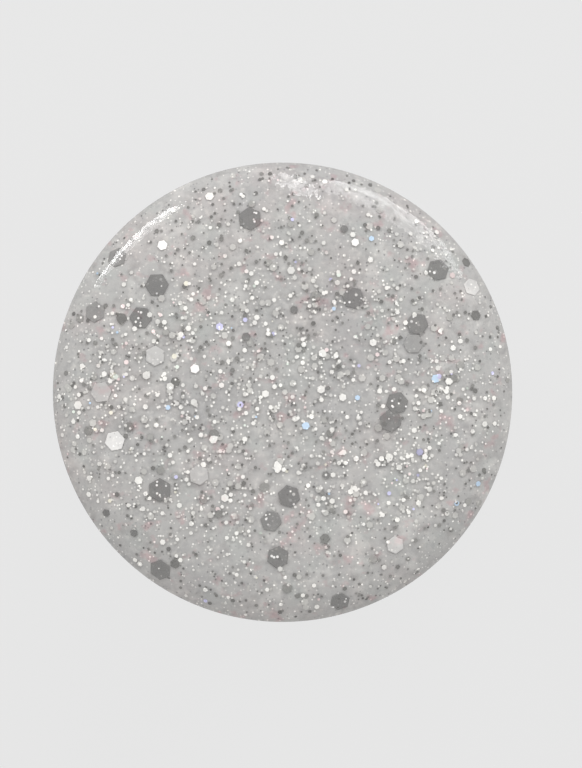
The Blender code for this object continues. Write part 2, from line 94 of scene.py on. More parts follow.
bpy.ops.object.select_all(action="DESELECT")
bpy.ops.mesh.primitive_plane_add(size=SWEEP_SIZE, location=(0.0, 0.0, -0.02 * MM))
sweep = bpy.context.object
sweep.name = "sweep"
paper, paper_tree, paper_shader = new_material(
    "sweep_paper",
    Base_Color=(SWEEP_DIFFUSE, SWEEP_DIFFUSE, SWEEP_DIFFUSE, 1.0),
    Roughness=1.0,
    Specular_IOR_Level=0.0,
    Emission_Color=(1.0, 1.0, 1.0, 1.0),
)
ray = add_node(paper_tree, "ShaderNodeLightPath").outputs
straight = add_node(
    paper_tree, "ShaderNodeMath", ray["Is Camera Ray"], ray["Is Transmission Ray"], operation="MAXIMUM"
)
glow = add_node(
    paper_tree, "ShaderNodeMapRange", straight.outputs["Value"], To_Min=SWEEP_REFLECTED, To_Max=SWEEP_GLOW
)
paper_tree.links.new(glow.outputs["Result"], paper_shader.inputs["Emission Strength"])
sweep.data.materials.append(paper)

# The room is an even pale dome; only what the camera sees of it is fixed at the sweep's own tone.
DOME_STRENGTH = 0.86
world = bpy.data.worlds.new("studio")
bpy.context.scene.world = world
world.use_nodes = True
sky = world.node_tree
sky.nodes.clear()
seen = add_node(sky, "ShaderNodeBackground", (PALE_GREY, PALE_GREY, PALE_GREY, 1.0)).outputs[0]
lighting = add_node(sky, "ShaderNodeBackground", (1.0, 0.995, 0.985, 1.0), DOME_STRENGTH).outputs[0]
seen_directly = add_node(sky, "ShaderNodeLightPath").outputs["Is Camera Ray"]
either = add_node(sky, "ShaderNodeMixShader", seen_directly, lighting, seen)
add_node(sky, "ShaderNodeOutputWorld", either.outputs["Shader"])


def softbox(
    name, azimuth, polar, width, height, radiance, roll=0.0, distance=0.6, fade=1.0, folds=(4.0, 4.0)
):
    """An elliptical softbox that faces the drop; azimuth is from +X, polar from straight up, in degrees.

    Its upper edge shines with the share of its full radiance that fade gives. Its cloth is uneven: folds
    says how many light and dark patches there are across its width and its height."""
    lamp = bpy.data.lights.new(name, "AREA")
    lamp.shape = "ELLIPSE"
    lamp.size = width
    lamp.size_y = height
    lamp.energy = radiance * math.pi * (math.pi * width * height / 4.0)
    box = bpy.data.objects.new(name, lamp)
    bpy.context.collection.objects.link(box)
    a = math.radians(azimuth)
    p = math.radians(polar)
    away = Vector((math.sin(p) * math.cos(a), math.sin(p) * math.sin(a), math.cos(p)))
    facing = away.to_track_quat("Z", "Y").to_matrix().to_4x4()
    place = Vector((0.0, 0.0, RIM_HEIGHT)) + away * distance
    box.matrix_world = Matrix.Translation(place) @ facing @ Matrix.Rotation(math.radians(roll), 4, "Z")
    box.visible_camera = False
    if fade < 1.0:
        lamp.use_nodes = True
        tree = lamp.node_tree
        across = add_node(tree, "ShaderNodeNewGeometry").outputs["Parametric"]
        upright = add_node(tree, "ShaderNodeSeparateXYZ", across).outputs["Y"]
        falloff = add_node(
            tree, "ShaderNodeMapRange", upright, To_Min=1.0, To_Max=fade, interpolation_type="SMOOTHSTEP"
        )
        creased = add_node(tree, "ShaderNodeMapping", across, Scale=(*folds, 1.0))
        cloth = add_node(tree, "ShaderNodeTexNoise", creased.outputs["Vector"], Scale=1.0, Detail=3.0)
        patches = add_node(tree, "ShaderNodeMapRange", cloth.outputs["Fac"], 0.36, 0.62, 0.30, 1.15)
        both = add_node(
            tree, "ShaderNodeMath", falloff.outputs["Result"], patches.outputs["Result"], operation="MULTIPLY"
        )
        tree.links.new(both.outputs["Value"], tree.nodes["Emission"].inputs["Strength"])
    return box


# A broad box makes the wide arc in the drop's gloss, a narrow one the hook, a strip and its spill a crescent.
softbox("broad_softbox", 57.0, 58.5, 0.44, 0.36, radiance=6.6, fade=0.40, folds=(14.0, 5.0))
softbox("corner_softbox", 87.0, 55.0, 0.38, 0.075, radiance=9.0, roll=-80.0, fade=0.6)
softbox("strip_softbox", 134.0, 62.0, 0.31, 0.075, radiance=10.0, roll=-8.0, fade=0.95, folds=(2.0, 4.5))
softbox("strip_spill", 134.0, 58.5, 0.28, 0.15, radiance=6.8, roll=-8.0, fade=0.6, folds=(1.6, 13.0))

# Four tall strips round the bottle light its sides alone, so that the drop keeps only the lamps above.
side_lit = bpy.data.collections.new("side_lit")
for number in range(4):
    azimuth = 5.0 + 90.0 * number
    strip = softbox(f"side_strip_{number + 1}", azimuth, 92.0, 0.05, 0.34, 3.2, distance=0.42)
    strip.light_linking.receiver_collection = side_lit

FRAME_LONG_SIDE = 33.45 * MM
CAMERA_ABOVE_RIM = 620.0 * MM
camera_data = bpy.data.cameras.new("overhead_camera")
camera_data.sensor_width = 36.0
camera_data.lens = camera_data.sensor_width * CAMERA_ABOVE_RIM / FRAME_LONG_SIDE
camera_data.shift_x = 0.011
camera_data.shift_y = 0.0108
camera_data.clip_start = 0.01
camera_data.clip_end = 50.0
camera = bpy.data.objects.new("overhead_camera", camera_data)
bpy.context.collection.objects.link(camera)
camera.location = (0.0, 0.0, RIM_HEIGHT + CAMERA_ABOVE_RIM)
bpy.context.scene.camera = camera
bpy.context.scene.view_settings.view_transform = "Standard"


# ----------------------------------------
# Glass bottle. Clear soda-lime glass, blown in a mould: heavy base with a punt,
# straight wall, square shoulder and a screw neck. Drawn ring by ring from the
# punt up the outside and down into the chamber; the thread is joined on.
# ----------------------------------------

def arc(centre_r, centre_z, radius, start_deg, end_deg, steps):
    """Points of an arc in the (radius, height) plane, both ends included."""
    points = []
    for step in range(steps + 1):
        angle = math.radians(start_deg + (end_deg - start_deg) * step / steps)
        points.append((centre_r + radius * math.cos(angle), centre_z + radius * math.sin(angle)))
    return points


def draw_round(name, outline, sides, closed=False):
    """Draw a round body ring by ring from a circle: one extrusion, moved and scaled, for each outline point.

    An open outline is capped at both ends, and a closed one is a ring whose last edge meets its first."""
    bpy.ops.object.select_all(action="DESELECT")
    fill = "NOTHING" if closed else "NGON"
    first_r, first_z = outline[0]
    foot = (0.0, 0.0, first_z)
    bpy.ops.mesh.primitive_circle_add(vertices=sides, radius=first_r, fill_type=fill, location=foot)
    piece = bpy.context.object
    piece.name = name
    piece.data.name = name
    bpy.ops.object.transform_apply(location=True, rotation=True, scale=True)
    bpy.ops.object.mode_set(mode="EDIT")
    bpy.ops.mesh.select_all(action="SELECT")
    rings = outline + outline[:1] if closed else outline
    for (r0, z0), (r1, z1) in zip(rings, rings[1:]):
        bpy.ops.mesh.extrude_region_move(TRANSFORM_OT_translate={"value": (0.0, 0.0, z1 - z0)})
        bpy.ops.transform.resize(value=(r1 / r0, r1 / r0, 1.0), center_override=(0.0, 0.0, z1))
    bpy.ops.mesh.select_all(action="SELECT")
    bpy.ops.mesh.remove_doubles(threshold=0.0001 * MM)
    bpy.ops.mesh.normals_make_consistent(inside=False)
    bpy.ops.object.mode_set(mode="OBJECT")
    return piece


def combine(piece, other, operation):
    """Join a second closed body to the piece, or cut it away, so that one skin is left."""
    bpy.ops.object.select_all(action="DESELECT")
    bpy.context.view_layer.objects.active = piece
    piece.select_set(True)
    boolean = piece.modifiers.new("combine", "BOOLEAN")
    boolean.operation = operation
    boolean.solver = "EXACT"
    boolean.object = other
    bpy.ops.object.modifier_apply(modifier=boolean.name)
    bpy.data.objects.remove(other, do_unlink=True)


def finish(piece, material, sharp_over=40.0):
    """Shade a finished piece smooth, with its real edges kept sharp, and give it its material."""
    bpy.ops.object.select_all(action="DESELECT")
    piece.select_set(True)
    bpy.context.view_layer.objects.active = piece
    bpy.ops.object.shade_smooth_by_angle(angle=math.radians(sharp_over))
    piece.data.materials.append(material)


def set_radius(vert, radius):
    """Move a point straight in or out to a radius from the bottle's axis."""
    present = math.hypot(vert.co.x, vert.co.y)
    vert.co.x *= radius / present
    vert.co.y *= radius / present


THREAD_STEPS = 96
THREAD_ROOT = 1.15 * MM
THREAD_FLAT = 0.55 * MM


def wind_thread(name, wall_radius, crest_radius, low_z, turns, pitch):
    """One right-handed thread: a strip screwed up the wall, sunk into it, and faded out at both ends."""
    outwards = 1.0 if crest_radius > wall_radius else -1.0
    sunk = wall_radius - outwards * 0.25 * MM
    bpy.ops.object.select_all(action="DESELECT")
    bpy.ops.mesh.primitive_plane_add(size=1.0, location=(0.0, 0.0, 0.0))
    strip = bpy.context.object
    strip.name = name
    corners = (
        (sunk, -THREAD_ROOT),
        (crest_radius, -THREAD_FLAT),
        (sunk, THREAD_ROOT),
        (crest_radius, THREAD_FLAT),
    )
    for vert, (radius, width) in zip(strip.data.vertices, corners):
        vert.co = (radius, 0.0, low_z + 0.5 * width)
    bpy.ops.object.mode_set(mode="EDIT")
    bpy.ops.mesh.select_all(action="SELECT")
    bpy.ops.mesh.delete(type="ONLY_FACE")
    bpy.ops.object.mode_set(mode="OBJECT")
    screw = strip.modifiers.new("screw", "SCREW")
    screw.angle = turns * 2.0 * math.pi
    screw.screw_offset = turns * pitch
    screw.steps = round(turns * THREAD_STEPS)
    screw.render_steps = screw.steps
    screw.use_normal_calculate = False
    bpy.ops.object.modifier_apply(modifier=screw.name)
    faded_crest = wall_radius - outwards * 0.05 * MM
    for vert in strip.data.vertices:
        if abs(math.hypot(vert.co.x, vert.co.y) - crest_radius) < 0.05 * MM:
            turn = math.atan2(vert.co.y, vert.co.x) / (2.0 * math.pi)
            along = round((vert.co.z - low_z) / pitch - turn) + turn
            rise = min(along, turns - along) * pitch
            fade = min(1.0, (rise + 0.01 * pitch) / (0.14 * pitch))
            set_radius(vert, faded_crest + (crest_radius - faded_crest) * math.sin(0.5 * math.pi * fade))
    bpy.ops.object.mode_set(mode="EDIT")
    bpy.ops.mesh.select_all(action="DESELECT")
    bpy.ops.mesh.select_non_manifold(
        extend=False, use_wire=False, use_multi_face=False, use_non_contiguous=False
    )
    bpy.ops.mesh.edge_face_add()
    bpy.ops.mesh.select_all(action="SELECT")
    bpy.ops.mesh.normals_make_consistent(inside=False)
    bpy.ops.object.mode_set(mode="OBJECT")
    return strip


glass_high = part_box("glass_bottle")[1]
BODY_RADIUS = glass_high.x
NECK_TOP = glass_high.z
SHOULDER = 31.0 * MM
WALL = 1.6 * MM
FLOOR = 4.0 * MM
INNER_RADIUS = BODY_RADIUS - WALL
UNDER_SHOULDER = SHOULDER - WALL
CHAMBER_CORNER = 1.5 * MM
NECK_RADIUS = 5.65 * MM
BORE_RADIUS = 3.6 * MM
THREAD_CREST = 6.45 * MM
THREAD_PITCH = 2.117 * MM
THREAD_TURNS = 1.6
THREAD_END = NECK_TOP - 2.0 * MM

glass_outline = [(2.0 * MM, 0.35 * MM), (5.0 * MM, 0.45 * MM), (7.3 * MM, 0.5 * MM)]
glass_outline += arc(8.1 * MM, 0.35 * MM, 0.35 * MM, 180.0, 270.0, 5)
glass_outline += arc(BODY_RADIUS - 1.5 * MM, 1.5 * MM, 1.5 * MM, -90.0, 0.0, 12)
glass_outline += arc(BODY_RADIUS - 1.0 * MM, SHOULDER - 1.0 * MM, 1.0 * MM, 0.0, 90.0, 10)
glass_outline += arc(NECK_RADIUS + 0.6 * MM, SHOULDER + 0.6 * MM, 0.6 * MM, 270.0, 180.0, 6)
glass_outline += arc(NECK_RADIUS - 0.6 * MM, NECK_TOP - 0.6 * MM, 0.6 * MM, 0.0, 90.0, 8)
glass_outline += arc(BORE_RADIUS + 0.5 * MM, NECK_TOP - 0.5 * MM, 0.5 * MM, 90.0, 180.0, 6)
glass_outline += arc(BORE_RADIUS + 0.5 * MM, UNDER_SHOULDER + 0.5 * MM, 0.5 * MM, 180.0, 270.0, 6)
corner_r = INNER_RADIUS - CHAMBER_CORNER
glass_outline += arc(corner_r, UNDER_SHOULDER - CHAMBER_CORNER, CHAMBER_CORNER, 90.0, 0.0, 8)
glass_outline += arc(corner_r, FLOOR + CHAMBER_CORNER, CHAMBER_CORNER, 0.0, -90.0, 8)
glass_outline += [(3.0 * MM, FLOOR + 0.02 * MM)]
bottle = draw_round("bottle_glass", glass_outline, sides=128)
thread_low = THREAD_END - THREAD_TURNS * THREAD_PITCH
neck_thread = wind_thread("neck_thread", NECK_RADIUS, THREAD_CREST, thread_low, THREAD_TURNS, THREAD_PITCH)
combine(bottle, neck_thread, "UNION")


def new_group(name, inputs, outputs):
    """A node group with named sockets; what comes in, and Object coordinates, are returned with it."""
    group = bpy.data.node_groups.new(name, "ShaderNodeTree")
    for sockets, way in ((inputs, "INPUT"), (outputs, "OUTPUT")):
        for socket, kind in sockets.items():
            group.interface.new_socket(socket, in_out=way, socket_type="NodeSocket" + kind)
    incoming = group.nodes.new("NodeGroupInput").outputs
    return group, incoming, add_node(group, "ShaderNodeTexCoord").outputs["Object"]


# Handling marks: faint hairlines and finger smears, shared by the glass, the metals and the plastics.
marks, given, place = new_group(
    "handling_marks",
    {"Roughness": "Float", "Smear": "Float", "Hairlines": "Float"},
    {"Roughness": "Float", "Height": "Float"},
)
smears = add_node(marks, "ShaderNodeTexNoise", place, Scale=160.0, Detail=4.0, Roughness=0.62)
smeared = add_node(marks, "ShaderNodeMapRange", smears.outputs["Fac"], From_Min=0.45, From_Max=0.75)
smear = smeared.outputs["Result"]
rougher = add_node(
    marks, "ShaderNodeMath", smear, given["Smear"], given["Roughness"], operation="MULTIPLY_ADD"
)
squeezed = add_node(marks, "ShaderNodeMapping", place, Scale=(1.0, 1.0, 0.06), Rotation=(0.3, 0.9, 0.2))
hairs = add_node(marks, "ShaderNodeTexNoise", squeezed.outputs["Vector"], Scale=5200.0, Detail=1.0)
hairlines = add_node(marks, "ShaderNodeMapRange", hairs.outputs["Fac"], From_Min=0.66, From_Max=0.74)
hairline = hairlines.outputs["Result"]
raised = add_node(marks, "ShaderNodeMath", hairline, given["Hairlines"], operation="MULTIPLY")
add_node(marks, "NodeGroupOutput", rougher.outputs["Value"], raised.outputs["Value"])


def handled_material(name, colour, roughness, smear, hairlines, bump_mm, **values):
    """A Principled material whose gloss is broken by handling marks."""
    material, tree, shader = new_material(name, Base_Color=(*colour, 1.0), **values)
    worn = add_node(tree, "ShaderNodeGroup", roughness, smear, hairlines, node_tree=marks)
    bump = add_node(tree, "ShaderNodeBump", Distance=bump_mm * MM, Height=worn.outputs["Height"])
    tree.links.new(worn.outputs["Roughness"], shader.inputs["Roughness"])
    tree.links.new(bump.outputs["Normal"], shader.inputs["Normal"])
    return material


clear_glass = handled_material(
    "clear_glass", (0.965, 0.985, 0.978), 0.0, 0.03, 0.0, 0.004, Transmission_Weight=1.0, IOR=1.52
)
finish(bottle, clear_glass)
# Light reaches the polish through the glass undimmed, as it does through the real, thin wall.
bottle.visible_shadow = False
bottle.visible_diffuse = False
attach(bottle, "bottle")
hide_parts("glass_bottle")


# ----------------------------------------
# Base label. A round of pale coated paper stuck inside the punt, with nothing
# printed on it; paper fibre and a slightly warm, handled tone.
# ----------------------------------------

def grained_material(name, roughness, texture, output, low, high, bump_mm, **values):
    """A matt material whose tone and surface follow one fine texture; low and high are (position, colour)."""
    material, tree, shader = new_material(name, Roughness=roughness)
    place = add_node(tree, "ShaderNodeTexCoord").outputs["Object"]
    grain = add_node(tree, texture, place, **values).outputs[output]
    tone = add_node(tree, "ShaderNodeValToRGB", grain)
    for stop, (position, colour) in zip(tone.color_ramp.elements, (low, high)):
        stop.position = position
        stop.color = (*colour, 1.0)
    bump = add_node(tree, "ShaderNodeBump", Distance=bump_mm * MM, Height=grain)
    tree.links.new(tone.outputs["Color"], shader.inputs["Base Color"])
    tree.links.new(bump.outputs["Normal"], shader.inputs["Normal"])
    return material


def finish_cad_node(node, material):
    """Give a CAD node that stays in view its real material."""
    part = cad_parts[node]
    part.data.materials.clear()
    part.data.materials.append(material)


label_paper = grained_material(
    "label_paper",
    0.55,
    "ShaderNodeTexNoise",
    "Fac",
    (0.35, (0.70, 0.69, 0.66)),
    (0.65, (0.80, 0.80, 0.78)),
    0.01,
    Scale=2600.0,
    Detail=5.0,
)
finish_cad_node("base_label", label_paper)


# ----------------------------------------
# Mixing balls. Two 1/8 inch bearing balls of polished stainless steel, loose
# in the polish, which they stir when the bottle is shaken.
# ----------------------------------------

bright_steel = handled_material("bright_steel", (0.62, 0.61, 0.59), 0.10, 0.12, 0.5, 0.002, Metallic=1.0)
ball_low, ball_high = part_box("mixing_ball_1")
BALL_RADIUS = (ball_high.z - ball_low.z) / 2
first_ball = draw_round("steel_ball_1", arc(0.0, 0.0, BALL_RADIUS, -88.0, 88.0, 32), sides=64)
finish(first_ball, bright_steel)
second_ball = first_ball.copy()
second_ball.data = first_ball.data.copy()
second_ball.name = "steel_ball_2"
second_ball.data.name = "steel_ball_2"
bpy.context.collection.objects.link(second_ball)
for number, ball in ((1, first_ball), (2, second_ball)):
    ball_low, ball_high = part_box(f"mixing_ball_{number}")
    ball.data.transform(Matrix.Translation((ball_low + ball_high) / 2))
    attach(ball, f"ball_{number}")
    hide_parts(f"mixing_ball_{number}")


# ----------------------------------------
# Polish. Silver-grey glitter lacquer that fills the chamber to just under the
# shoulder and wets the glass, with a well round the brush and room for the
# balls. Its flakes are hexagons cut from foil, most of them too small to count.
# ----------------------------------------

LACQUER_GREY = (0.420, 0.4145, 0.407)
# Soft clouds in the lacquer: scale, the noise at which each starts and is full, its shift, and its tint.
CLOUDS = (
    (420.0, 0.50, 0.72, 0.013, (1.035, 0.99, 0.99)),
    (520.0, 0.52, 0.72, 0.047, (0.975, 1.01, 1.00)),
    (1300.0, 0.59, 0.70, 0.023, (1.03, 0.86, 0.88)),
    (260.0, 0.50, 0.68, 0.091, (0.93, 0.93, 0.94)),
    (1100.0, 0.52, 0.70, 0.051, (1.22, 1.22, 1.21)),
    (1500.0, 0.54, 0.72, 0.077, (0.85, 0.84, 0.84)),
    (3600.0, 0.50, 0.68, 0.031, (0.90, 0.90, 0.91)),
    (4100.0, 0.56, 0.72, 0.067, (1.18, 1.17, 1.15)),
)
# The specks' lighter tints are painted glints of foil, and their darker tints painted dark reflections.
# Foil specks in the middles of cells: scale, radius in cells, the span of cells with one, and their tint.
SPECKS_WITH_PAINTED_GLINTS = (
    (5200.0, 0.22, 0.00, 0.12, (0.58, 0.58, 0.59)),
    (5200.0, 0.22, 0.60, 0.80, (1.75, 1.74, 1.70)),
    (7600.0, 0.28, 0.10, 0.28, (1.45, 1.45, 1.43)),
    (7600.0, 0.28, 0.55, 0.68, (0.76, 0.76, 0.77)),
)

# Lacquer ground, shared by the polish, the drop and the flakes: a base colour under clouds and specks.
# Its lighter and darker specks are painted glints and painted dark reflections of foil.
ground, given, place = new_group(
    "glitter_ground", {"Base": "Color", "Clouds": "Float", "Specks": "Float"}, {"Color": "Color"}
)


def mask_math(operation, value, other):
    """One step of arithmetic on the lacquer ground's masks."""
    return add_node(ground, "ShaderNodeMath", value, other, operation=operation).outputs["Value"]


def tint_where(mask, tone, tint):
    """The ground's tone, multiplied by a tint as far as the mask says."""
    mix = add_node(ground, "ShaderNodeMix", mask, data_type="RGBA", blend_type="MULTIPLY")
    ground.links.new(tone, mix.inputs[6])
    mix.inputs[7].default_value = (*tint, 1.0)
    return mix.outputs[2]


tone = given["Base"]
for scale, low, high, shift, tint in CLOUDS:
    moved = add_node(ground, "ShaderNodeMapping", place, Location=(shift, -shift, 0.5 * shift))
    noise = add_node(
        ground, "ShaderNodeTexNoise", moved.outputs["Vector"], Scale=scale, Detail=3.0, Roughness=0.55
    )
    cloud = add_node(ground, "ShaderNodeMapRange", noise.outputs["Fac"], From_Min=low, From_Max=high)
    tone = tint_where(mask_math("MULTIPLY", cloud.outputs["Result"], given["Clouds"]), tone, tint)
for scale, reach, low, high, tint in SPECKS_WITH_PAINTED_GLINTS:
    cells = add_node(ground, "ShaderNodeTexVoronoi", place, Scale=scale).outputs
    chance = add_node(ground, "ShaderNodeSeparateColor", cells["Color"]).outputs["Red"]
    near = mask_math("LESS_THAN", cells["Distance"], reach)
    above = mask_math("GREATER_THAN", chance, low)
    drawn = mask_math("MULTIPLY", above, mask_math("LESS_THAN", chance, high))
    speck = mask_math("MULTIPLY", drawn, near)
    tone = tint_where(mask_math("MULTIPLY", speck, given["Specks"]), tone, tint)
add_node(ground, "NodeGroupOutput", tone)


def lacquer_material(name, roughness, pattern, attribute=None):
    """Lacquer in its own grey, or in an attribute's colour, with a share of the ground's clouds and specks.

    It has no gloss of its own, which comes from the glass or the clear skin over it."""
    material, tree, shader = new_material(name, Roughness=roughness, Specular_IOR_Level=0.0)
    layer = add_node(tree, "ShaderNodeGroup", (*LACQUER_GREY, 1.0), pattern, pattern, node_tree=ground)
    if attribute:
        painted = add_node(tree, "ShaderNodeAttribute", attribute_name=attribute)
        tree.links.new(painted.outputs["Color"], layer.inputs["Base"])
    tree.links.new(layer.outputs["Color"], shader.inputs["Base Color"])
    return material


glitter_polish = lacquer_material("glitter_polish", 0.6, 1.0)

polish_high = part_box("polish_fill")[1]
POLISH_TOP = polish_high.z
POLISH_WETS = INNER_RADIUS + 0.02 * MM
BRUSH_WELL = 2.03 * MM
WELL_FLOOR = 4.35 * MM
MENISCUS = 0.22 * MM
WELL_LIP = 0.3 * MM
SHAFT_RADIUS = BALL_RADIUS + 0.15 * MM
SHAFT_FLOOR = FLOOR - 0.5 * MM
SHAFT_TOP = POLISH_TOP - MENISCUS - 0.04 * MM

polish_outline = [(1.2 * MM, FLOOR - 0.02 * MM), (5.0 * MM, FLOOR - 0.02 * MM)]
polish_outline += arc(POLISH_WETS - CHAMBER_CORNER, FLOOR + 1.48 * MM, CHAMBER_CORNER, -90.0, 0.0, 10)
polish_outline += [(POLISH_WETS, POLISH_TOP)]
polish_outline += arc(POLISH_WETS - MENISCUS, POLISH_TOP, MENISCUS, 0.0, -90.0, 6)[1:]
polish_outline += arc(BRUSH_WELL + WELL_LIP, POLISH_TOP - MENISCUS + WELL_LIP, WELL_LIP, 270.0, 180.0, 4)
polish_outline += [(BRUSH_WELL, 20.0 * MM), (BRUSH_WELL, WELL_FLOOR + 0.4 * MM), (1.6 * MM, WELL_FLOOR)]
polish = draw_round("polish", polish_outline, sides=96)
for number in (1, 2):
    ball_low, ball_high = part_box(f"mixing_ball_{number}")
    bpy.ops.object.select_all(action="DESELECT")
    bpy.ops.mesh.primitive_cylinder_add(
        vertices=32,
        radius=SHAFT_RADIUS,
        depth=SHAFT_TOP - SHAFT_FLOOR,
        location=((ball_low.x + ball_high.x) / 2, 0.0, 0.5 * (SHAFT_FLOOR + SHAFT_TOP)),
    )
    shaft = bpy.context.object
    bpy.ops.object.transform_apply(location=True, rotation=True, scale=True)
    combine(polish, shaft, "DIFFERENCE")
finish(polish, glitter_polish)
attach(polish, "bottle")
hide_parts("polish_fill")


def take_pattern(piece):
    """The points and faces of a piece that is modelled once, to be copied many times."""
    points = np.array([vert.co for vert in piece.data.vertices])
    faces = [list(face.vertices) for face in piece.data.polygons]
    bpy.data.objects.remove(piece, do_unlink=True)
    return points, faces


def gather_copies(name, points, pattern_faces):
    """One piece from many copies of a pattern; each row of points holds the points of one copy."""
    copies, corners = points.shape[:2]
    starts = range(0, copies * corners, corners)
    faces = [[start + corner for corner in face] for start in starts for face in pattern_faces]
    mesh = bpy.data.meshes.new(name)
    mesh.from_pydata(points.reshape(-1, 3).tolist(), [], faces)
    piece = bpy.data.objects.new(name, mesh)
    bpy.context.collection.objects.link(piece)
    return piece


# One foil flake: a hexagon 1 wide and 1 thick, its upper edge drawn in. Every flake is a copy of it.
flake_points, flake_faces = take_pattern(draw_round("flake", [(0.5, -0.5), (0.475, 0.5)], sides=6))
FLAKE_THICKNESS = 0.014 * MM


def unit(vectors):
    """The same vectors, each of length 1."""
    return vectors / np.linalg.norm(vectors, axis=1, keepdims=True)


def lay_flakes(name, material, centres, normals, widths, colours, lean, draw):
    """Lay a copy of the flake at each centre, turned at random, and flat but for a slight lean."""
    upwards = unit(normals + draw.normal(0.0, lean, normals.shape))
    along = unit(np.cross(upwards, draw.normal(0.0, 1.0, normals.shape)))
    across = np.cross(upwards, along)
    wide = widths[:, None, None]
    points = centres[:, None, :] + wide * flake_points[None, :, 0:1] * along[:, None, :]
    points += wide * flake_points[None, :, 1:2] * across[:, None, :]
    points += FLAKE_THICKNESS * flake_points[None, :, 2:3] * upwards[:, None, :]
    piece = gather_copies(name, points, flake_faces)
    # The foil attribute holds each flake's colour, with its painted glint or painted dark reflection.
    foil = piece.data.color_attributes.new("foil", "FLOAT_COLOR", "POINT")
    rgba = np.ones((len(centres), len(flake_points), 4))
    rgba[:, :, :3] = colours[:, None, :]
    foil.data.foreach_set("color", rgba.ravel())
    piece.data.materials.append(material)
    return piece


# The flakes' tones are painted: lighter for a glint of foil turned to the lamps, darker for a dark reflection
# of foil turned away.
# Flakes by size: how many to each 100 square mm, width in mm, tone against the lacquer's, share tinted.
FLAKE_SORTS = (
    (6, 0.95, (0.44, 0.62), 0.00),
    (8, 0.42, (0.40, 0.70), 0.00),
    (7, 0.36, (1.60, 2.20), 0.10),
    (36, 0.20, (0.36, 0.62), 0.00),
    (40, 0.31, (1.08, 1.28), 0.05),
    (10, 0.33, (0.78, 0.92), 0.00),
    (50, 0.23, (1.40, 2.40), 0.08),
    (95, 0.18, (1.25, 2.30), 0.08),
    (75, 0.15, (0.36, 0.64), 0.00),
    (150, 0.14, (1.10, 1.60), 0.06),
    (110, 0.12, (0.32, 0.60), 0.00),
    (225, 0.11, (1.35, 2.50), 0.04),
    (110, 0.085, (0.30, 0.55), 0.00),
    (110, 0.085, (1.50, 2.60), 0.03),
)
PLAIN_FOIL = (1.0, 1.0, 0.98)
FOIL_TINTS = (
    (1.09, 0.94, 0.95),
    (0.74, 0.95, 1.20),
    (1.04, 1.02, 0.90),
    (0.95, 1.04, 0.97),
    (0.86, 0.86, 1.22),
)
BRIGHTEST_PAINTED_GLINT = 0.82
# The flakes have no gloss of their own; the glints and dark reflections of their foil are painted into their
# colours.
foil_flakes_painted_glints = lacquer_material("foil_flakes_painted_glints", 0.45, 0.6, attribute="foil")


def mix_flakes(area, narrowest, draw):
    """Widths and colours of the flakes that an area of lacquer holds, none of a sort under the narrowest; the
    colours carry painted glints and painted dark reflections.
    """
    widths = []
    colours = []
    for per_hundred, width, (darkest, lightest), tinted in FLAKE_SORTS:
        if width * MM < narrowest:
            continue
        for flake in range(round(per_hundred * area / (100.0 * MM * MM))):
            tint = FOIL_TINTS[draw.integers(len(FOIL_TINTS))] if draw.random() < tinted else PLAIN_FOIL
            level = draw.uniform(darkest, lightest)
            widths.append(width * MM * draw.uniform(0.85, 1.15))
            colour = np.array(LACQUER_GREY) * tint * level
            colours.append(colour * min(1.0, BRIGHTEST_PAINTED_GLINT / colour.max()))
    return np.array(widths), np.array(colours)


draw = np.random.default_rng(5)
wall_low = FLOOR + 1.6 * MM
wall_high = POLISH_TOP - 0.4 * MM
wall_area = 2.0 * math.pi * POLISH_WETS * (wall_high - wall_low)
# Their colours carry painted glints and painted dark reflections.
wall_widths, wall_tones_and_glints = mix_flakes(wall_area, 0.15 * MM, draw)
around = draw.uniform(0.0, 2.0 * math.pi, len(wall_widths))
outward = np.stack([np.cos(around), np.sin(around), np.zeros(len(around))], axis=1)
# They lie flat against the glass, each just proud of the polish, so that all of each shows.
proud = draw.uniform(0.003, 0.015, len(around)) * MM
wall_centres = outward * (POLISH_WETS + proud[:, None])
wall_centres[:, 2] = draw.uniform(wall_low, wall_high, len(around))
wall_flakes = lay_flakes(
    "polish_flakes", foil_flakes_painted_glints, wall_centres, outward, wall_widths, wall_tones_and_glints, 0.004, draw
)
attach(wall_flakes, "bottle")


# ----------------------------------------
# Neck collar. A turned aluminium ring with a bright silver plating, pressed on
# the shoulder round the root of the neck; its edges are rolled.
# ----------------------------------------

collar_low, collar_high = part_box("neck_collar")
COLLAR_INNER = NECK_RADIUS + 0.75 * MM
COLLAR_EDGE = 0.3 * MM
plated_collar = handled_material("plated_collar", (0.86, 0.85, 0.83), 0.12, 0.16, 0.8, 0.003, Metallic=1.0)
collar_outline = [(COLLAR_INNER, collar_low.z)]
collar_outline += arc(collar_high.x - COLLAR_EDGE, collar_low.z + COLLAR_EDGE, COLLAR_EDGE, -90.0, 0.0, 5)
collar_outline += arc(collar_high.x - COLLAR_EDGE, collar_high.z - COLLAR_EDGE, COLLAR_EDGE, 0.0, 90.0, 5)
collar_outline += [(COLLAR_INNER + 0.1 * MM, collar_high.z), (COLLAR_INNER, collar_high.z - 0.1 * MM)]
collar = draw_round("collar_ring", collar_outline, sides=128, closed=True)
finish(collar, plated_collar)
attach(collar, "bottle")
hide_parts("neck_collar")


# ----------------------------------------
# Wiper. A natural polyethylene plug moulded in one piece: a flange on the neck,
# a long thin barrel in the bore and a lower lip that strips the brush.
# ----------------------------------------

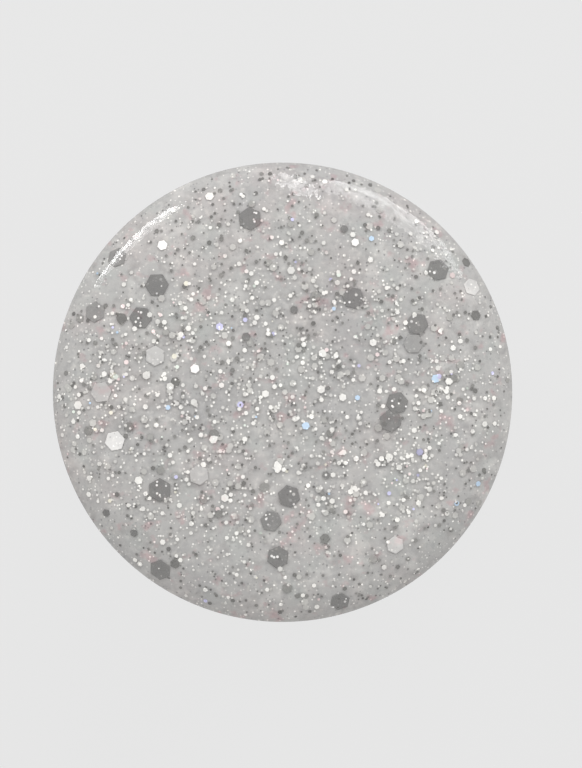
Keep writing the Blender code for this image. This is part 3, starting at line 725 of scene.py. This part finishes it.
wiper_low, wiper_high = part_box("wiper")
ORIFICE = 1.9 * MM
WIPER_BARREL = BORE_RADIUS - 0.1 * MM
WIPER_THROAT = WIPER_BARREL - 0.6 * MM
WIPER_SEAT = NECK_TOP + 0.05 * MM
natural_plastic = handled_material(
    "natural_plastic",
    (0.80, 0.81, 0.78),
    0.32,
    0.12,
    0.3,
    0.004,
    Subsurface_Weight=0.25,
    Subsurface_Radius=(0.6, 0.6, 0.55),
    Subsurface_Scale=0.5 * MM,
)
wiper_outline = [
    (ORIFICE, wiper_low.z + 0.1 * MM),
    (ORIFICE + 0.1 * MM, wiper_low.z),
    (WIPER_BARREL - 0.5 * MM, wiper_low.z),
    (WIPER_BARREL - 0.4 * MM, wiper_low.z + 0.1 * MM),
    (WIPER_BARREL, wiper_low.z + 1.6 * MM),
    (WIPER_BARREL, WIPER_SEAT - 0.1 * MM),
    (WIPER_BARREL + 0.1 * MM, WIPER_SEAT),
    (wiper_high.x - 0.1 * MM, WIPER_SEAT),
    (wiper_high.x, WIPER_SEAT + 0.1 * MM),
    (wiper_high.x, wiper_high.z - 0.12 * MM),
    (wiper_high.x - 0.12 * MM, wiper_high.z),
    (WIPER_THROAT + 0.2 * MM, wiper_high.z),
    (WIPER_THROAT, wiper_high.z - 0.2 * MM),
    (WIPER_THROAT, wiper_low.z + 1.6 * MM),
    (ORIFICE, wiper_low.z + 0.8 * MM),
]
wiper = draw_round("wiper_plug", wiper_outline, sides=64, closed=True)
finish(wiper, natural_plastic)
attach(wiper, "bottle")
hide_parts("wiper")


# ----------------------------------------
# Bristle tuft. Black nylon filaments folded over a steel staple in the stem's
# hole; they belly out a little below it and are trimmed to a rounded tip.
# ----------------------------------------

tuft_low, tuft_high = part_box("bristle_tuft")
stem_low, stem_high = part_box("brush_stem")
FILAMENTS = 150
FILAMENT_WIDTH = 0.15 * MM
FILAMENT_STEPS = 7
PACKED_RADIUS = 1.12 * MM
TIP_ROUNDING = 1.4 * MM
GOLDEN_ANGLE = math.pi * (3.0 - math.sqrt(5.0))
BELLY_HEIGHTS = (0.0, 0.08, 0.28, 0.60, 0.88, 1.0)
BELLY_SPREAD = (0.62, 1.00, 1.30, 1.36, 1.12, 1.0)
black_bristle = handled_material("black_bristle", (0.018, 0.018, 0.02), 0.32, 0.2, 0.4, 0.004)

# One filament, 1 long; every filament is a copy of it, drawn out, bent and tapered to its tip.
filament_outline = [(0.5 * FILAMENT_WIDTH, step / FILAMENT_STEPS) for step in range(FILAMENT_STEPS + 1)]
filament_points, filament_faces = take_pattern(draw_round("filament", filament_outline, sides=5))
tuft_points = []
draw = np.random.default_rng(11)
span = stem_low.z - tuft_low.z
for number in range(FILAMENTS):
    out = PACKED_RADIUS * math.sqrt((number + 0.5) / FILAMENTS)
    about = number * GOLDEN_ANGLE
    trim = tuft_low.z + TIP_ROUNDING * (out / PACKED_RADIUS) ** 2 + draw.uniform(0.0, 0.25) * MM
    sway = draw.normal(0.0, 0.02 * MM, 2)
    bent = []
    for x, y, z in filament_points:
        height = trim + (tuft_high.z - 0.05 * MM - trim) * z
        along = min(1.0, max(0.0, (height - tuft_low.z) / span))
        spread = out * float(np.interp(along, BELLY_HEIGHTS, BELLY_SPREAD))
        taper = 0.45 + 0.55 * min(1.0, (height - trim) / (3.0 * MM))
        middle_x = spread * math.cos(about) + sway[0] * (1.0 - along)
        middle_y = spread * math.sin(about) + sway[1] * (1.0 - along)
        bent.append((middle_x + taper * x, middle_y + taper * y, height))
    tuft_points.append(bent)
bristles = gather_copies("bristles", np.array(tuft_points), filament_faces)
finish(bristles, black_bristle, sharp_over=75.0)
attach(bristles, "wand")
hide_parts("bristle_tuft")
finish_cad_node("brush_staple", bright_steel)


# ----------------------------------------
# Brush stem. A satin black polypropylene rod, bored at its lower end for the
# tuft, with a round head that snaps into the brush cap.
# ----------------------------------------

STEM_RADIUS = 1.6 * MM
TUFT_HOLE = 1.25 * MM
TUFT_HOLE_TOP = stem_low.z + 4.0 * MM
STEM_HEAD = stem_high.z - 1.25 * MM
satin_black = handled_material("satin_black_plastic", (0.016, 0.016, 0.017), 0.34, 0.16, 0.6, 0.005)
stem_outline = [
    (0.4 * MM, TUFT_HOLE_TOP),
    (TUFT_HOLE - 0.05 * MM, TUFT_HOLE_TOP),
    (TUFT_HOLE, TUFT_HOLE_TOP - 0.05 * MM),
    (TUFT_HOLE, stem_low.z + 0.06 * MM),
    (TUFT_HOLE + 0.06 * MM, stem_low.z),
    (STEM_RADIUS - 0.15 * MM, stem_low.z),
    (STEM_RADIUS - 0.04 * MM, stem_low.z + 0.04 * MM),
    (STEM_RADIUS, stem_low.z + 0.15 * MM),
    (STEM_RADIUS, STEM_HEAD - 0.1 * MM),
    (STEM_RADIUS + 0.1 * MM, STEM_HEAD),
    (stem_high.x - 0.1 * MM, STEM_HEAD),
    (stem_high.x, STEM_HEAD + 0.1 * MM),
    (stem_high.x, stem_high.z - 0.25 * MM),
    (stem_high.x - 0.25 * MM, stem_high.z),
    (0.4 * MM, stem_high.z),
]
stem = draw_round("stem_rod", stem_outline, sides=64)
finish(stem, satin_black)
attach(stem, "wand")
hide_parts("brush_stem")


# ----------------------------------------
# Cap weight. A turned steel slug, chamfered at both ends and pressed into the
# brush cap's core, which gives the cap its heft.
# ----------------------------------------

weight_low, weight_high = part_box("cap_weight")
WEIGHT_CHAMFER = 0.4 * MM
weight_outline = [
    (0.5 * MM, weight_low.z),
    (weight_high.x - WEIGHT_CHAMFER, weight_low.z),
    (weight_high.x, weight_low.z + WEIGHT_CHAMFER),
    (weight_high.x, weight_high.z - WEIGHT_CHAMFER),
    (weight_high.x - WEIGHT_CHAMFER, weight_high.z),
    (1.2 * MM, weight_high.z),
    (0.7 * MM, weight_high.z - 0.35 * MM),
]
weight = draw_round("steel_weight", weight_outline, sides=96)
finish(weight, bright_steel, sharp_over=30.0)
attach(weight, "wand")
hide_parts("cap_weight")


# ----------------------------------------
# Brush cap. Satin black ABS, moulded with thirty soft flutes round its grip, a
# thread in its skirt, a snap socket for the stem and a core for the weight.
# ----------------------------------------

cap_low, cap_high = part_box("brush_cap")
CAP_BORE = 6.6 * MM
CAP_WEB = 43.8 * MM
CAP_CORE_FLOOR = 46.4 * MM
CAP_CORE = 5.6 * MM
CAP_EDGE = 0.3 * MM
SOCKET_RADIUS = stem_high.x + 0.1 * MM
SOCKET_TOP = CAP_WEB + 1.4 * MM
FLUTES = 30
FLUTE_SIDES = 8
FLUTE_DEPTH = 0.18 * MM
FLUTE_RUNOUT = 1.2 * MM
RUNOUT_STEPS = 8
CAP_THREAD_TURNS = 1.5
CAP_THREAD_LOW = THREAD_END - 2.1 * THREAD_PITCH

cap_outline = [(0.5 * MM, SOCKET_TOP), (SOCKET_RADIUS, SOCKET_TOP), (SOCKET_RADIUS, CAP_WEB)]
cap_outline += [(CAP_BORE - 0.2 * MM, CAP_WEB), (CAP_BORE, CAP_WEB - 0.2 * MM)]
cap_outline += [(CAP_BORE, cap_low.z + CAP_EDGE), (CAP_BORE + CAP_EDGE, cap_low.z)]
cap_outline += arc(cap_high.x - CAP_EDGE, cap_low.z + CAP_EDGE, CAP_EDGE, -90.0, 0.0, 4)
for step in range(1, RUNOUT_STEPS + 1):
    cap_outline.append((cap_high.x, cap_low.z + CAP_EDGE + FLUTE_RUNOUT * step / RUNOUT_STEPS))
for step in range(RUNOUT_STEPS, -1, -1):
    cap_outline.append((cap_high.x, cap_high.z - CAP_EDGE - FLUTE_RUNOUT * step / RUNOUT_STEPS))
cap_outline += arc(cap_high.x - CAP_EDGE, cap_high.z - CAP_EDGE, CAP_EDGE, 0.0, 90.0, 4)[1:]
cap_outline += [(CAP_CORE + 0.15 * MM, cap_high.z), (CAP_CORE, cap_high.z - 0.15 * MM)]
cap_outline += [(CAP_CORE, CAP_CORE_FLOOR), (0.5 * MM, CAP_CORE_FLOOR)]
cap = draw_round("fluted_cap", cap_outline, sides=FLUTE_SIDES * FLUTES)
for vert in cap.data.vertices:
    radius = math.hypot(vert.co.x, vert.co.y)
    if radius > cap_high.x - 0.002 * MM:
        from_end = min(vert.co.z - cap_low.z, cap_high.z - vert.co.z) - CAP_EDGE
        runout = min(1.0, max(0.0, from_end / FLUTE_RUNOUT))
        wave = 0.5 - 0.5 * math.cos(FLUTES * math.atan2(vert.co.y, vert.co.x))
        set_radius(vert, radius - FLUTE_DEPTH * wave * math.sqrt(1.0 - (1.0 - runout) ** 2))
cap_thread = wind_thread(
    "cap_thread", CAP_BORE, NECK_RADIUS + 0.2 * MM, CAP_THREAD_LOW, CAP_THREAD_TURNS, THREAD_PITCH
)
combine(cap, cap_thread, "UNION")
finish(cap, satin_black, sharp_over=35.0)
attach(cap, "wand")
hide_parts("brush_cap")


# ----------------------------------------
# Seal liner. A ring punched from closed-cell white foam, squeezed between the
# wiper's flange and the web of the brush cap.
# ----------------------------------------

seal_low, seal_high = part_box("seal_liner")
SEAL_BULGE = 0.5 * MM
SEAL_FACE = seal_high.x - 0.35 * MM
seal_middle = (seal_low.z + seal_high.z) / 2
white_foam = grained_material(
    "white_foam",
    0.7,
    "ShaderNodeTexVoronoi",
    "Distance",
    (0.0, (0.62, 0.61, 0.58)),
    (0.55, (0.82, 0.81, 0.78)),
    0.03,
    Scale=7000.0,
)
seal_outline = [(ORIFICE, seal_low.z), (SEAL_FACE, seal_low.z)]
seal_outline += arc(seal_high.x - SEAL_BULGE, seal_middle, SEAL_BULGE, -70.0, 70.0, 8)
seal_outline += [(SEAL_FACE, seal_high.z), (ORIFICE, seal_high.z)]
seal = draw_round("seal_ring", seal_outline, sides=72, closed=True)
finish(seal, white_foam)
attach(seal, "seal")
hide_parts("seal_liner")


# ----------------------------------------
# Overcap lining. A cup of natural polypropylene welded in the outer shell; its
# eight upright ribs grip the brush cap, so the overcap pulls off with a snap.
# ----------------------------------------

lining_low, lining_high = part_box("overcap_lining")
LINING_INNER = 7.85 * MM
LINING_CEILING = lining_high.z - 1.0 * MM
LINING_RIBS = 8
RIB_HEIGHT = 0.2 * MM
RIB_WIDTH = 1.0 * MM
RIB_ENDS = 1.4 * MM
lining_outline = [(0.5 * MM, LINING_CEILING), (LINING_INNER - 0.6 * MM, LINING_CEILING)]
lining_outline += arc(LINING_INNER - 0.6 * MM, LINING_CEILING - 0.6 * MM, 0.6 * MM, 90.0, 0.0, 6)[1:]
lining_outline += [(LINING_INNER, LINING_CEILING - 1.5 * MM), (LINING_INNER, lining_low.z + 1.5 * MM)]
lining_outline += [(LINING_INNER, lining_low.z + 0.2 * MM), (LINING_INNER + 0.2 * MM, lining_low.z)]
lining_outline += [(lining_high.x - 0.15 * MM, lining_low.z), (lining_high.x, lining_low.z + 0.15 * MM)]
lining_outline += [(lining_high.x, lining_high.z - 0.3 * MM), (lining_high.x - 0.3 * MM, lining_high.z)]
lining_outline += [(0.5 * MM, lining_high.z)]
lining = draw_round("lining_cup", lining_outline, sides=192)
for vert in lining.data.vertices:
    radius = math.hypot(vert.co.x, vert.co.y)
    inside_run = lining_low.z + RIB_ENDS < vert.co.z < LINING_CEILING - RIB_ENDS
    if abs(radius - LINING_INNER) < 0.01 * MM and inside_run:
        turn = math.atan2(vert.co.y, vert.co.x) * LINING_RIBS / (2.0 * math.pi)
        off_rib = abs(turn - round(turn)) * 2.0 * math.pi * LINING_INNER / LINING_RIBS
        if off_rib < 0.5 * RIB_WIDTH:
            set_radius(vert, radius - RIB_HEIGHT * math.cos(math.pi * off_rib / RIB_WIDTH))
finish(lining, natural_plastic)
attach(lining, "overcap")
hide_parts("overcap_lining")


# ----------------------------------------
# Overcap shell. A straight, flat-topped cup of gloss black ABS; its top edge is
# rounded, its mouth is eased, and it carries light finger marks and hairlines.
# ----------------------------------------

shell_low, shell_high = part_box("overcap_shell")
SHELL_INNER = shell_high.x - 1.0 * MM
SHELL_CEILING = shell_high.z - 1.6 * MM
gloss_black = handled_material("gloss_black_plastic", (0.008, 0.008, 0.009), 0.05, 0.14, 0.6, 0.003)
shell_outline = [(0.5 * MM, SHELL_CEILING), (SHELL_INNER - 0.2 * MM, SHELL_CEILING)]
shell_outline += [(SHELL_INNER, SHELL_CEILING - 0.2 * MM), (SHELL_INNER, shell_low.z + 0.1 * MM)]
shell_outline += [(SHELL_INNER + 0.1 * MM, shell_low.z)]
shell_outline += arc(shell_high.x - 0.2 * MM, shell_low.z + 0.2 * MM, 0.2 * MM, -90.0, 0.0, 5)
shell_outline += arc(shell_high.x - 0.5 * MM, shell_high.z - 0.5 * MM, 0.5 * MM, 0.0, 90.0, 8)
shell_outline += [(0.5 * MM, shell_high.z)]
shell = draw_round("overcap_outer", shell_outline, sides=160)
finish(shell, gloss_black)
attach(shell, "overcap")
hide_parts("overcap_shell")


# ----------------------------------------
# Adhesive pad. A thin round of white acrylic foam tape between the overcap and
# the clear disc.
# ----------------------------------------

finish_cad_node("adhesive_pad", white_foam)


# ----------------------------------------
# Sample disc. Clear cast acrylic, turned to the bottle's width, with a sharp
# upper edge that holds the drop's rim and a small chamfer below.
# ----------------------------------------

disc_low, disc_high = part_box("sample_disc")
clear_acrylic = handled_material(
    "clear_acrylic", (0.97, 0.98, 0.975), 0.0, 0.05, 0.3, 0.004, Transmission_Weight=1.0, IOR=1.49
)
disc_outline = [
    (4.0 * MM, disc_low.z),
    (disc_high.x - 0.1 * MM, disc_low.z),
    (disc_high.x, disc_low.z + 0.1 * MM),
    (disc_high.x, disc_high.z - 0.02 * MM),
    (disc_high.x - 0.02 * MM, disc_high.z),
    (4.0 * MM, disc_high.z),
]
disc = draw_round("clear_disc", disc_outline, sides=160)
finish(disc, clear_acrylic, sharp_over=20.0)
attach(disc, "overcap")
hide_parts("sample_disc")


# ----------------------------------------
# Drop of shade. Lacquer poured on the disc until its own surface tension holds
# it at the edge: nearly flat on top, steep at the rim, hard and glossy. A clear
# skin lies over the flakes, which have settled on a cloudy grey ground.
# ----------------------------------------

CAPILLARY = 1.6 * MM
RIM_SLOPE = math.radians(52.0)
TOP_SLOPE = math.radians(0.6)
DROP_STEPS = 64
DROP_HEIGHT = 2.0 * CAPILLARY * math.sin(0.5 * RIM_SLOPE)
UNDERSIDE = 6.0 * MM


def resting_liquid(slope):
    """Distance in from the edge of a resting liquid, in capillary lengths, up to a constant."""
    return math.log(math.tan(0.25 * slope)) + 2.0 * math.cos(0.5 * slope)


drop_slopes = [RIM_SLOPE * (TOP_SLOPE / RIM_SLOPE) ** (step / DROP_STEPS) for step in range(DROP_STEPS + 1)]
skin_outline = [(UNDERSIDE, RIM_HEIGHT)]
for slope in drop_slopes:
    radius = RIM_RADIUS - CAPILLARY * (resting_liquid(RIM_SLOPE) - resting_liquid(slope))
    height = RIM_HEIGHT + DROP_HEIGHT - 2.0 * CAPILLARY * math.sin(0.5 * slope)
    if radius > 0.5 * MM:
        skin_outline.append((radius, height))

clear_skin, skin_tree, skin_shader = new_material(
    "clear_skin", Base_Color=(1.0, 1.0, 1.0, 1.0), Roughness=0.0, Transmission_Weight=1.0, IOR=1.48
)
place = add_node(skin_tree, "ShaderNodeTexCoord").outputs["Object"]
ripples = add_node(skin_tree, "ShaderNodeTexNoise", place, Scale=1900.0, Detail=2.0)
skin_bump = add_node(skin_tree, "ShaderNodeBump", Distance=0.014 * MM, Height=ripples.outputs["Fac"])
skin_tree.links.new(skin_bump.outputs["Normal"], skin_shader.inputs["Normal"])

skin = draw_round("drop_skin", skin_outline, sides=384)
finish(skin, clear_skin)
# The skin bends what is seen through it, and lets the lamps through to the flakes as the real one does.
skin.visible_shadow = False
skin.visible_diffuse = False
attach(skin, "overcap")
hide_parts("shade_drop")

GROUND_DEPTH = 0.10 * MM
GROUND_FLOOR = RIM_HEIGHT + 0.002 * MM
core_outline = [(UNDERSIDE, GROUND_FLOOR), (RIM_RADIUS - 0.004 * MM, GROUND_FLOOR)]
for (radius, height), slope in zip(skin_outline[2:], drop_slopes[1:]):
    depth = GROUND_DEPTH * (1.0 - 0.7 * slope / RIM_SLOPE)
    sunk = height - depth * math.cos(slope)
    core_outline.append((radius - depth * math.sin(slope), max(sunk, RIM_HEIGHT + 0.01 * MM)))
lacquer_ground = lacquer_material("lacquer_ground", 0.6, 1.0)
core = draw_round("drop_ground", core_outline, sides=192)
finish(core, lacquer_ground)
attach(core, "overcap")

# Large flakes lie where they settled, in mm from the middle: place, width, and tone against the ground, the
# light tones painted glints of foil and the dark ones painted dark reflections.
LARGE_FLAKES = (
    (-1.42, 7.55, 1.05, 0.46), (-5.47, 4.67, 1.05, 0.44), (-6.17, 3.24, 1.0, 0.46),
    (-8.17, 3.50, 0.95, 0.62), (3.07, 4.11, 1.0, 0.48), (6.77, 5.33, 1.0, 0.46),
    (5.86, 2.98, 1.0, 0.50), (4.98, -0.46, 1.0, 0.46), (4.68, -1.25, 1.0, 0.48),
    (-5.34, -4.25, 1.05, 0.46), (0.28, -4.52, 1.0, 0.46), (-0.50, -5.60, 0.95, 0.52),
    (-0.20, -7.17, 1.0, 0.48), (-5.34, -7.74, 1.0, 0.50), (2.50, -9.13, 0.9, 0.52),
    (5.69, 2.11, 0.9, 0.78), (-7.30, -2.12, 0.9, 1.75), (-7.90, 0.00, 0.95, 1.12),
    (-5.54, 1.58, 0.9, 1.22), (-3.64, -3.60, 0.9, 1.12), (4.90, -6.65, 0.8, 1.35),
    (8.25, 4.59, 0.8, 1.35), (-7.22, 5.88, 0.9, 0.58), (-5.23, 6.40, 0.46, 2.30),
    (-3.81, 1.02, 0.42, 2.25), (3.16, 6.52, 0.36, 2.10), (0.50, 3.59, 0.36, 0.45),
    (2.68, 7.11, 0.36, 0.48), (-7.69, -5.26, 0.36, 0.42), (-6.47, -6.13, 0.36, 0.45),
    (1.89, -3.60, 0.36, 0.48), (-1.58, 2.41, 0.40, 0.46),
)
LARGE = 0.7 * MM
FLAKE_LIMIT = 0.985 * RIM_RADIUS
SWARMS = 85
SWARM_SHARE = 0.56
SWARM_SPREAD = 0.72 * MM
GLINT_CRUMBS_EACH = 5
draw = np.random.default_rng(23)
# Their colours carry painted glints and painted dark reflections, as in the polish.
drop_widths, drop_tones_and_glints = mix_flakes(math.pi * RIM_RADIUS ** 2, 0.0, draw)
small = drop_widths < LARGE
drop_widths = drop_widths[small]
drop_tones_and_glints = drop_tones_and_glints[small]


def strew(count, limit):
    """Places spread evenly over a round of the given radius."""
    out = limit * np.sqrt(draw.random(count))
    around = draw.uniform(0.0, 2.0 * math.pi, count)
    return np.stack([out * np.cos(around), out * np.sin(around)], axis=1)


# Dark flakes lie evenly; most of the bright ones, whose tone is a painted glint, have drifted into loose
# swarms.
drop_places = strew(len(drop_widths), FLAKE_LIMIT)
swarms = strew(SWARMS, 0.95 * RIM_RADIUS) * np.array([1.0, 0.58]) - np.array([0.4 * MM, 0.9 * MM])
bright = drop_tones_and_glints.mean(axis=1) > LACQUER_GREY[1]
swarming = bright & (draw.random(len(drop_widths)) < SWARM_SHARE)
own_swarm = draw.integers(len(swarms), size=len(drop_widths))
near_swarm = swarms[own_swarm] + draw.normal(0.0, SWARM_SPREAD, drop_places.shape)
swarming &= np.linalg.norm(near_swarm, axis=1) < FLAKE_LIMIT
drop_places[swarming] = near_swarm[swarming]
# Few of the small flakes lie over a large one.
large = np.array(LARGE_FLAKES)
from_large = np.linalg.norm(drop_places[:, None, :] - large[None, :, :2] * MM, axis=2).min(axis=1)
clear = (from_large > 0.52 * MM) | (draw.random(len(drop_places)) < 0.2)
# Small crumbs, mostly lighter than the ground, lie on the dark large flakes: painted glints on their creased
# foil.
bearing = np.repeat(large[(large[:, 2] > 0.8) & (large[:, 3] < 0.7), :2] * MM, GLINT_CRUMBS_EACH, axis=0)
crumb_places = bearing + strew(len(bearing), 0.42 * MM)
crumb_places = crumb_places[np.linalg.norm(crumb_places, axis=1) < 0.97 * RIM_RADIUS]
crumb_widths = draw.uniform(0.07, 0.14, len(crumb_places)) * MM
crumb_glint_tones = draw.choice([0.75, 1.0, 1.5, 1.9], len(crumb_places))[:, None] * np.array([LACQUER_GREY])
large_tones_and_glints = large[:, 3:4] * np.array([LACQUER_GREY])
drop_places = np.concatenate([large[:, :2] * MM, crumb_places, drop_places[clear]])
drop_widths = np.concatenate([large[:, 2] * MM, crumb_widths, drop_widths[clear]])
drop_tones_and_glints = np.concatenate([large_tones_and_glints, crumb_glint_tones, drop_tones_and_glints[clear]])

# Each flake lies a little under the skin, in the skin's own slope.
outline_r, outline_z = np.array(skin_outline[:0:-1]).T
outline_slope = np.array(drop_slopes[: len(skin_outline) - 1])[::-1]
place_r = np.linalg.norm(drop_places, axis=1)
slope_here = np.interp(place_r, outline_r, outline_slope)
towards = drop_places / place_r[:, None]
drop_normals = np.concatenate([towards * np.sin(slope_here)[:, None], np.cos(slope_here)[:, None]], axis=1)
drop_centres = np.concatenate([drop_places, np.interp(place_r, outline_r, outline_z)[:, None]], axis=1)
strength = np.abs(drop_tones_and_glints.mean(axis=1) / LACQUER_GREY[1] - 1.0)
sunk = np.where(drop_widths > LARGE, 0.040, 0.022 + 0.030 * np.exp(-4.0 * strength)) * MM
drop_centres -= drop_normals * sunk[:, None]
drop_flakes = lay_flakes(
    "drop_flakes", foil_flakes_painted_glints, drop_centres, drop_normals, drop_widths, drop_tones_and_glints, 0.012, draw
)
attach(drop_flakes, "overcap")

for piece in (bottle, collar, cap, shell, lining, disc, stem):
    side_lit.objects.link(piece)
